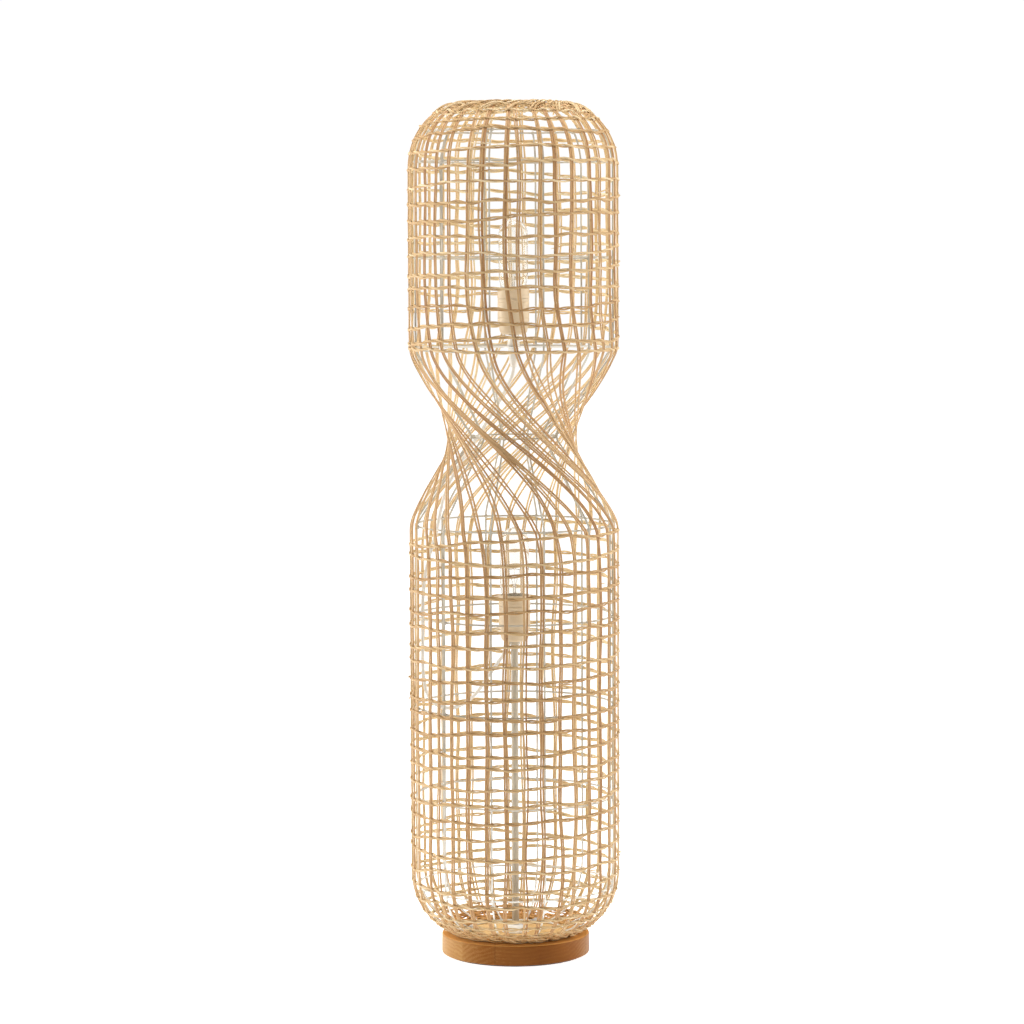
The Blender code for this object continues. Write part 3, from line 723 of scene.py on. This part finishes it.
def stakes():
    """Pairs of splints from rim to foot, gathered into bundles where they cross the waist."""
    hump = np.clip(4 * SHARE * (1 - SHARE), 0, 1) ** 0.7
    quarters = [Strands(8) for _ in range(4)]
    ends = slice(1, len(RUN) - 1)
    for k in range(STAKES):
        top = AZIMUTHS[k][0]
        bundle = crowding(top) + rng.gauss(0, 0.7)
        layer = rng.uniform(-0.0050, 0.0)
        split = abs(rng.gauss(0, 0.0007))
        parting = rng.choice([0.1, 0.3, 0.7, 1.7])
        opening = np.abs(wander(RUN, 0.25))
        for side in (-1, 1):
            azimuth = AZIMUTHS[k] + (bundle + side * parting) * hump
            lift = layer * hump + 0.00025 * wander(RUN, 0.05)
            path, outward = on_wall(RUN, azimuth, lift)
            across, _ = crossways(path, outward)
            aside = side * (SPLINT_WIDTH * 0.53 + split * opening) + 0.0002 * wander(RUN, 0.09)
            path = path + across * aside[:, None]
            path[:, 0] -= WAIST_SHIFT * hump
            width = SPLINT_WIDTH * rng.uniform(0.84, 1.18) * (1 + 0.06 * wander(RUN, 0.12))
            quarter = quarters[k * 4 // STAKES]
            # Painted light: the stakes are made lighter where they cross the waist.
            quarter.add(path[ends], outward[ends], width[ends], SPLINT_THICKNESS, pale=0.12 * hump[ends])
    nodes = ("upper_weave", "waist_weave", "lower_weave", "waist_weave")
    for i, strands in enumerate(quarters):
        name = f"rattan_stakes_{i + 1}"
        shown(name, strands.mesh(name), "stake", "lamp", "rattan", nodes[i])


def passed(run, turn):
    """How many stakes a weaver has passed, with a fraction, at each of its points."""
    count = np.empty(len(run))
    marks = np.arange(STAKES + 1)
    for i, (at, azimuth) in enumerate(zip(run, turn)):
        column = COLUMNS[min(len(COLUMNS) - 1, int(at / RUN_STEP))]
        rounds = math.floor((azimuth - column[0]) / 360)
        count[i] = np.interp(azimuth - 360 * rounds, column, marks) + STAKES * rounds
    return count


def row_runs(first, last, pitch_at):
    """Turns and runs of a helix: one level turn at the run last, then up to the run first."""
    step = 360 / STAKES / 8
    start = rng.uniform(0, 360)
    turns = list(np.arange(start, start + 360, step))
    runs = [last] * len(turns)
    phase = rng.uniform(0, 360)
    while runs[-1] > first:
        turns.append(turns[-1] + step)
        uneven = 1 + 0.14 * math.sin(math.radians(turns[-1] * 0.43 + phase))
        uneven += 0.10 * math.sin(math.radians(turns[-1] * 0.71))
        runs.append(runs[-1] - pitch_at(runs[-1]) * uneven * step / 360)
    return np.array(turns), np.array(runs)


def weavers(name, first, last, pitch_at, node_name, dense_at):
    """A pair of weavers twined round the stakes: each passes outside a stake and then inside the next."""
    turns, runs = row_runs(first, last, pitch_at)
    rows = 0.0050 * wander(turns, 170) + 0.0018 * wander(turns, 34)
    level = np.clip(runs + rows, first, last)
    index = passed(level, turns)
    reach = SPLINT_THICKNESS / 2 + WEAVER_THICKNESS / 2 - 0.0001
    rise = 0.0014
    overlap = 20
    shortest = 30
    for j, label in enumerate(("a", "b")):
        phase = math.pi * (index + j)
        lift = reach * np.cos(phase) + dense_at(runs) * wander(turns, 14)
        run = np.clip(level + rise * np.sin(phase) + 0.0003 * wander(turns, 17), 0.0005, RUN[-1])
        path, outward = on_wall(run, turns, lift)
        strands = Strands(6)
        piece_step = rng.randint(320, 420)
        for start in range(0, len(path) - shortest, piece_step):
            part = slice(start, start + piece_step + overlap)
            points = path[part]
            from_end = np.minimum(np.arange(len(points)), np.arange(len(points))[::-1])
            flare = rng.uniform(0.0008, 0.0030) * np.exp(-((from_end / 5) ** 2))
            points = points + outward[part] * flare[:, None]
            width = WEAVER_WIDTH * rng.uniform(0.85, 1.15)
            strands.add(points, outward[part], width, WEAVER_THICKNESS, taper=True)
        piece = f"{name}_{label}"
        shown(piece, strands.mesh(piece), "weaver", "lamp", "rattan", node_name)


def basket_weavers():
    """The rows of both baskets, from the frame's rings at the waist to the rim and the foot."""
    ring_upper = float(np.interp(-UPPER_BASKET_Z, -Z, RUN))
    ring_lower = float(np.interp(-LOWER_BASKET_Z, -Z, RUN))
    foot = float(RUN[-1])

    def pitch(away, band, dense, near):
        """Rows are dense in the braided band, and open gradually beyond it."""
        open_pitch = np.interp(away - band, [0, OPENING_BAND], [near, ROW_PITCH])
        return dense if away < band else open_pitch

    def upper_pitch(run):
        return pitch(run, RIM_BAND, RIM_PITCH, RIM_NEXT_PITCH)

    def lower_pitch(run):
        return pitch(foot - run, FOOT_BAND, FOOT_PITCH, FOOT_NEXT_PITCH)

    def rim_rough(run):
        return np.where(run < RIM_BAND, 0.0012, 0.0001)

    def foot_rough(run):
        return np.where(run > foot - FOOT_BAND, 0.0014, 0.0001)

    weavers("upper_weavers", 0.009, ring_upper - 0.0005, upper_pitch, "upper_weave", rim_rough)
    weavers("lower_weavers", ring_lower + 0.001, foot - 0.002, lower_pitch, "lower_weave", foot_rough)


def border(name, edge, inward, reach, node_name):
    """Stake ends folded over to one side like a rope along the edge. Every second one also arches deeper."""
    strands = Strands(8)
    t = np.linspace(0, 1, 26)
    rope = 0.002 + reach * 0.32 * np.abs(2 * t - 1) ** 1.5
    arch = reach * (1 - 0.62 * np.sin(math.pi * t))
    for k in range(STAKES):
        start = FIRST_STAKE + k * 360 / STAKES + rng.uniform(-1.5, 1.5)
        folds = [(rope, rng.uniform(34, 46))] + [(arch, rng.uniform(26, 34))] * (k % 2)
        for line, span in folds:
            for side in (-1, 1):
                depth = line * rng.uniform(0.86, 1.08) + side * SPLINT_WIDTH / 2
                lift = 0.0008 + 0.0030 * np.sin(math.pi * (t * 1.7 + 0.05)) + rng.uniform(-0.0006, 0.0006)
                run = np.clip(edge + inward * depth, 0.0004, RUN[-1] - 0.0004)
                path, outward = on_wall(run, start + side + span * t, lift)
                width = WEAVER_WIDTH * rng.uniform(0.85, 1.1)
                strands.add(smoothed(path, 2), outward, width, SPLINT_THICKNESS, taper=True)
    shown(name, strands.mesh(name), "weaver", "lamp", "rattan", node_name)


def loose_ends(name, bands, node_name):
    """Short ends of joined weavers that stick out of the rows, so many in each band of runs."""
    strands = Strands(6)
    for first, last, count in bands:
        for _ in range(count):
            run = rng.uniform(first, last)
            start = rng.uniform(0, 360)
            reach = rng.uniform(6, 14) * rng.choice((-1, 1))
            t = np.linspace(0, 1, 9)
            line = run + rng.uniform(-0.006, 0.006) * t
            lift = 0.0016 + rng.uniform(0.0006, 0.0034) * t**2
            path, outward = on_wall(np.clip(line, 0, RUN[-1]), start + reach * t, lift)
            width = WEAVER_WIDTH * rng.uniform(0.6, 0.95)
            strands.add(path, outward, width, WEAVER_THICKNESS * 0.8, taper=True)
    shown(name, strands.mesh(name), "weaver", "lamp", "rattan", node_name)


# The wire frame


def frame_radius(z):
    """Radius of an upright wire's centre line."""
    if z > DOME_START:
        share = (z - DOME_START) / (HEIGHT - DOME_START - FRAME_INSET)
        return DOME_CENTRE + (FRAME_RADIUS - DOME_CENTRE) * math.sqrt(1 - share**2)
    if z < BOWL_START:
        share = (BOWL_START - z) / (BOWL_START - BASE_TOP - FRAME_INSET)
        return BOWL_CENTRE + (FRAME_RADIUS - BOWL_CENTRE) * math.sqrt(max(0.0, 1 - share**2))
    half = WAIST_RING_Z - LOWER_BASKET_Z - BEND_DROP
    away = abs(z - WAIST_RING_Z)
    if away > half:
        return FRAME_RADIUS
    narrow = high("frame_waist_ring").x - WIRE_RADIUS + WIRE_CLEARANCE
    return narrow + (FRAME_RADIUS - narrow) * away / half


def upright_wires():
    """Twelve wires from the foot ring up the bowl, through the waist and over the dome."""
    ring = high("frame_foot_ring")
    beside = WIRE_CLEARANCE * 0.75 - WIRE_RADIUS
    foot_place = (ring.x + beside, ring.z + beside)
    heights = list(np.arange(UPRIGHT_FOOT, FRAME_TOP, 0.003)) + [FRAME_TOP]
    line = np.array([foot_place] + [(frame_radius(z), z) for z in heights])
    line = smoothed(line, 3)
    for i in range(UPRIGHTS):
        angle = math.radians(FIRST_UPRIGHT + i * 360 / UPRIGHTS)
        direction = np.array([math.sin(angle), -math.cos(angle)])
        path = np.concatenate([line[:, :1] * direction[None, :], line[:, 1:]], 1)
        outward = np.tile([direction[0], direction[1], 0.0], (len(path), 1))
        strands = Strands(10)
        strands.add(path, outward, 2 * WIRE_RADIUS, 2 * WIRE_RADIUS)
        name = f"frame_wire_{i + 1:02d}"
        shown(name, strands.mesh(name), "wire_paint", "lamp", "white_steel", f"frame_upright_{i + 1:02d}")


def ring_nodes():
    """The CAD model's rings by name."""
    return sorted(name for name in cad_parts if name.startswith("frame_") and "_ring" in name)


def ring_wires():
    """The frame's rings, and the weld beads where they meet the uprights."""
    beads = bmesh.new()
    for node_name in ring_nodes():
        radius = high(node_name).x - WIRE_RADIUS
        z = high(node_name).z - WIRE_RADIUS
        angles = np.radians(np.arange(0, 360, 3))
        path = np.stack([radius * np.sin(angles), -radius * np.cos(angles), np.full(len(angles), z)], 1)
        outward = unit(path * np.array([1, 1, 0]))
        strands = Strands(10)
        strands.add(path, outward, 2 * WIRE_RADIUS, 2 * WIRE_RADIUS, closed=True)
        name = node_name.replace("frame_", "wire_")
        shown(name, strands.mesh(name), "wire_paint", "lamp", "white_steel", node_name)
        for i in range(UPRIGHTS):
            angle = math.radians(FIRST_UPRIGHT + i * 360 / UPRIGHTS)
            middle = radius + WIRE_CLEARANCE / 2
            place = Matrix.Translation((middle * math.sin(angle), -middle * math.cos(angle), z))
            size = rng.uniform(0.85, 1.1)
            bead = Matrix.Diagonal((0.0030 * size, 0.0024, 0.0026 * size, 1))
            shape = Matrix.Rotation(angle, 4, "Z") @ bead
            bmesh.ops.create_icosphere(beads, subdivisions=2, radius=1.0, matrix=place @ shape)
    mesh = bpy.data.meshes.new("weld_beads")
    beads.to_mesh(mesh)
    beads.free()
    mesh.shade_smooth()
    shown("weld_beads", mesh, "wire_paint", "lamp", "white_steel")


# Base, stem and cord


def wood_base():
    """The base with its bore, the pocket for the nut and the recess for the ballast."""
    edge = 0.0024
    bore = STEM_RADIUS + GAP
    recess_radius = 0.0903
    recess_top = 0.0086
    pocket_radius = 0.030
    pocket_top = 0.024
    outline = [
        (bore, BASE_TOP),
        (BASE_RADIUS, BASE_TOP),
        (BASE_RADIUS, BASE_BOTTOM),
        (recess_radius, BASE_BOTTOM),
        (recess_radius, recess_top),
        (pocket_radius, recess_top),
        (pocket_radius, pocket_top),
        (bore, pocket_top),
    ]
    turned("wooden_base", rounded(outline, edge, 4), "wood", "lamp", "beech", "wood_base", sides=160)


def stem():
    """The stem's tube, the domed flange at its foot and the nut at its top."""
    foot = low("stem_flange").z
    inside = STEM_RADIUS - 0.001
    bottom = 0.0195
    tube = [(inside, STEM_TOP), (STEM_RADIUS, STEM_TOP), (STEM_RADIUS, bottom), (inside, bottom)]
    turned("stem", tube, "paint", "lamp", "white_steel", "stem_tube", sides=32)
    bore = STEM_RADIUS + GAP
    flange = [
        (bore, foot + 0.0100),
        (0.0085, foot + 0.0098),
        (0.0130, foot + 0.0085),
        (0.0175, foot + 0.0055),
        (0.0198, foot + 0.0015),
        (0.0200, foot),
        (bore, foot),
    ]
    turned("flange", rounded(flange, 0.003, 4), "gloss", "lamp", "white_steel", "stem_flange")
    top = high("stem_top_nut").z
    nut = [(bore, top), (0.0075, top), (0.0075, top - 0.005), (bore, top - 0.005)]
    turned("lower_lock_nut", rounded(nut, 0.0008), "paint", "lamp", "white_steel", "stem_top_nut", sides=40)


def smooth_line(route, spacing):
    """Evenly spaced points of a smooth curve through the route's points."""
    knots = [Vector(point) for point in route]
    knots = [2 * knots[0] - knots[1]] + knots + [2 * knots[-1] - knots[-2]]
    fine = []
    for a, b, c, d in zip(knots, knots[1:], knots[2:], knots[3:]):
        for i in range(16):
            t = i / 16
            square = 2 * a - 5 * b + 4 * c - d
            cube = 3 * b - a - 3 * c + d
            fine.append(0.5 * (2 * b + (c - a) * t + square * t**2 + cube * t**3))
    fine.append(knots[-2])
    lengths = [0.0]
    for start, end in zip(fine, fine[1:]):
        lengths.append(lengths[-1] + (end - start).length)
    wanted = np.linspace(0, lengths[-1], round(lengths[-1] / spacing) + 1)
    columns = [np.interp(wanted, lengths, [point[i] for point in fine]) for i in range(3)]
    return np.stack(columns, 1), lengths[-1]


def cord():
    """The cord between the two holders, along the CAD model's route."""
    points, length = smooth_line(CORD_ROUTE, 0.005)
    curve = bpy.data.curves.new("holder_cord", "CURVE")
    curve.dimensions = "3D"
    curve.bevel_depth = CORD_RADIUS
    curve.bevel_resolution = 4
    curve.use_fill_caps = True
    spline = curve.splines.new("POLY")
    spline.points.add(len(points) - 1)
    for knot, point in zip(spline.points, points):
        knot.co = (*point, 1.0)
    item = shown("holder_cord", curve, "pvc", "lamp", "white_pvc", "inner_cord")


def cord_gland():
    """The bushing of the mains inlet, in the back of the base with its axis along Y."""
    lay = Matrix.Rotation(-math.pi / 2, 4, "X")
    at = (0, high("wood_base").y + GAP, (low("cord_gland").z + high("cord_gland").z) / 2)
    outline = [
        (0.0022, 0.002),
        (0.0050, 0.002),
        (0.0062, 0.001),
        (0.0062, 0.0),
        (0.0035, 0.0),
        (0.0035, -0.016),
        (0.0022, -0.016),
    ]
    outline = rounded(outline, 0.0006)
    node_name = "cord_gland"
    turned("inlet_bushing", outline, "beige", "lamp", "beige_plastic", node_name, at=at, sides=40, lay=lay)


# Bulb holders and bulbs


def holder(prefix, z):
    """A holder's cap, its body with two grooves, and its collar with a shallow band."""
    bore = STEM_RADIUS + GAP
    cap = [
        (0.0180, 0.0170),
        (0.0200, 0.0170),
        (0.0200, 0.0080),
        (0.0190, 0.0035),
        (0.0165, 0.0008),
        (0.0150, 0.0),
        (bore, 0.0),
        (bore, 0.0025),
        (0.0150, 0.0025),
        (0.0180, 0.0080),
    ]
    groove = 0.0004
    outside = high("upper_holder_body").x
    body = [(0.0185, 0.0500), (outside, 0.0500)]
    for height in (0.0455, 0.0235):
        body += [
            (outside, height + groove),
            (outside - groove, height + groove / 2),
            (outside - groove, height - groove / 2),
            (outside, height - groove),
        ]
    body += [(outside, 0.0173), (0.0185, 0.0173)]
    top = 0.0656
    collar = [
        (0.0186, top),
        (0.0225, top),
        (0.0225, 0.0625),
        (0.0222, 0.0620),
        (0.0222, 0.0545),
        (0.0225, 0.0540),
        (0.0225, 0.0503),
        (0.0186, 0.0503),
    ]
    for part, outline, ease in (("cap", cap, 0.0016), ("body", body, 0.0003), ("collar", collar, 0.0007)):
        name = f"{prefix}_{part}_shell"
        node_name = f"{prefix}_holder_{part}"
        turned(name, rounded(outline, ease), "beige", "lamp", "beige_plastic", node_name, at=(0, 0, z))


def upper_mount():
    """The conical nut over the crossbar and the tapered cord grip under it."""
    top = high("upper_nipple").z
    bar_top = high("crossbar").z
    nipple = [
        (0.0035, top),
        (0.0070, top),
        (0.0072, 0.8720),
        (0.0092, 0.8640),
        (0.0092, bar_top + GAP),
        (0.0047, bar_top + GAP),
        (0.0047, 0.853),
        (0.0035, 0.853),
    ]
    nipple = rounded(nipple, 0.0010)
    turned("upper_lock_nut", nipple, "gloss", "lamp", "white_steel", "upper_nipple", sides=40)
    bar_bottom = low("crossbar").z
    grip = [
        (0.0050, bar_bottom - GAP),
        (0.0078, bar_bottom - GAP),
        (0.0076, 0.8520),
        (0.0062, 0.8430),
        (0.0045, 0.832),
        (0.0033, 0.832),
        (0.0033, 0.8527),
        (0.0050, 0.8527),
    ]
    turned("cord_grip", rounded(grip, 0.0012), "pvc", "lamp", "beige_plastic", "upper_cord_grip", sides=40)


def envelope():
    """Outline of the bulb's glass, out and back in through the open neck."""
    radius = high("upper_bulb_glass").x
    length = high("upper_bulb_glass").z - low("upper_bulb_contact").z
    dome = 0.0206
    thickness = 0.0008
    outer = []
    for i in range(13):
        angle = math.pi / 2 * i / 12
        outer.append((radius * math.sin(angle), length - dome + dome * math.cos(angle)))
    waisted = [(radius, 0.0640), (0.0198, 0.0540), (0.0180, 0.0430), (0.0158, 0.0350), (0.0136, 0.0295)]
    outer += rounded(waisted + [(0.0120, 0.0250), (0.0120, 0.0180)], 0.004, 4)
    inner = [(max(0.0, r - thickness), z - (thickness if z > length - dome else 0)) for r, z in outer[::-1]]
    return outer + inner


def thread(count, top, pitch, radius, depth):
    """Outline of a rolled screw thread that runs down a cap's side."""
    step = 6
    points = []
    for i in range(count * step + 1):
        points.append((radius + depth * math.cos(math.tau * i / step), top - pitch * i / step))
    return points


def bulb(prefix, z):
    """A clear tubular bulb, all on the body that screws out."""
    body = f"{prefix}_bulb"
    at = (0, 0, z + low_seat)
    glass_node = f"{prefix}_bulb_glass"
    mount_node = f"{prefix}_bulb_mount"
    turned(f"{prefix}_envelope", envelope(), "glass", body, "clear_glass", glass_node, at=at, loop=False)
    cap = [(0.0124, 0.0255), (0.0130, 0.0255)] + thread(4, 0.0240, 0.00363, 0.0127, 0.0003)
    cap += [(0.0115, 0.0065), (0.0060, 0.0028), (0.0, 0.0028)]
    cap += [(0.0, 0.0045), (0.0055, 0.0045), (0.0120, 0.0090)]
    turned(f"{prefix}_screw_cap", cap, "brass", body, "brass", f"{prefix}_bulb_cap", at=at, sides=48)
    mount = [
        (0.0, 0.0580),
        (0.0016, 0.0575),
        (0.0022, 0.0560),
        (0.0022, 0.0400),
        (0.0045, 0.0330),
        (0.0095, 0.0250),
        (0.0095, 0.0180),
        (0.0, 0.0180),
    ]
    name = f"{prefix}_glass_stem"
    mount = rounded(mount, 0.001)
    turned(name, mount, "glass", body, "clear_glass", mount_node, at=at, sides=32, loop=False)
    filament(prefix, body, at)


def filament(prefix, body, at):
    """Two lead wires, a fine support and the coiled filament between them."""
    strands = Strands(6)
    out = np.array([0.0, -1.0, 0.0])
    lead_width = 0.0005
    for side in (-1, 1):
        line = [(0.0011, 0.045), (0.0013, 0.058), (0.0060, 0.0700), (0.0078, 0.0775), (0.0080, 0.0800)]
        fine = np.linspace(0, 1, 20)
        marks = np.linspace(0, 1, len(line))
        x = side * np.interp(fine, marks, [p[0] for p in line])
        height = np.interp(fine, marks, [p[1] for p in line])
        path = smoothed(np.stack([x, np.zeros(20), height], 1), 3) + np.array(at)
        strands.add(path, np.tile(out, (20, 1)), lead_width, lead_width)
    t = np.linspace(0, 1, 240)
    coil = 0.00045
    x = -0.0078 + 0.0156 * t
    y = coil * np.sin(t * math.tau * 30) - 0.004 * np.sin(math.pi * t)
    height = 0.0785 + coil * np.cos(t * math.tau * 30) + 0.0015 * np.sin(math.pi * t)
    path = np.stack([x, y, height], 1) + np.array(at)
    strands.add(path, np.tile([0.03, 0.02, 1.0], (240, 1)), 0.00022, 0.00022)
    support = np.stack([np.zeros(12), np.linspace(0, -0.004, 12), np.linspace(0.057, 0.0798, 12)], 1)
    strands.add(support + np.array(at), np.tile([1.0, 0.0, 0.0], (12, 1)), 0.0003, 0.0003)
    name = f"{prefix}_filament"
    shown(name, strands.mesh(name), "wire", body, "bare_steel")


def carried_over():
    """Finishes for the CAD nodes that stay."""
    finishes = {"crossbar": "gloss", "ballast_disc": "iron", "base_felt": "felt", "stem_base_nut": "zinc"}
    for i in (1, 2, 3):
        finishes[f"frame_screw_{i}"] = "zinc"
    for prefix in ("upper", "lower"):
        finishes[f"{prefix}_holder_sleeve"] = "brass"
        finishes[f"{prefix}_bulb_contact"] = "brass"
        finishes[f"{prefix}_contact_block"] = "ceramic"
    for name, look in finishes.items():
        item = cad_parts[name]
        item.data.materials.clear()
        item.data.materials.append(looks[look])


looks = make_looks()
low_seat = low("upper_bulb_contact").z - UPPER_HOLDER_Z
camera()
white_room()
lights()
floor()
cord()

RUN, RADIUS, Z = wall()
TURN = wall_turn(Z)
SHARE = twist_share(Z)
NORMAL_R = -np.gradient(Z, RUN)
NORMAL_Z = np.gradient(RADIUS, RUN)
AZIMUTHS = stake_lines()
COLUMNS = np.concatenate([AZIMUTHS, AZIMUTHS[:1] + 360]).T
stakes()
basket_weavers()
foot_run = float(RUN[-1])
border("rim_border", 0.0, 1, RIM_FOLD, "upper_weave")
border("foot_border", foot_run, -1, FOOT_FOLD, "lower_weave")
by_the_rim = (0.004, 0.05, 26)
by_the_foot = (foot_run - 0.05, foot_run - 0.004, 26)
loose_ends("upper_loose_ends", [by_the_rim, (0.05, 0.38, 12)], "upper_weave")
loose_ends("lower_loose_ends", [by_the_foot, (0.70, foot_run - 0.05, 16)], "lower_weave")
upright_wires()
ring_wires()
wood_base()
stem()
cord_gland()
upper_mount()
holder("upper", UPPER_HOLDER_Z)
holder("lower", LOWER_HOLDER_Z)
bulb("upper", UPPER_HOLDER_Z)
bulb("lower", LOWER_HOLDER_Z)
carried_over()
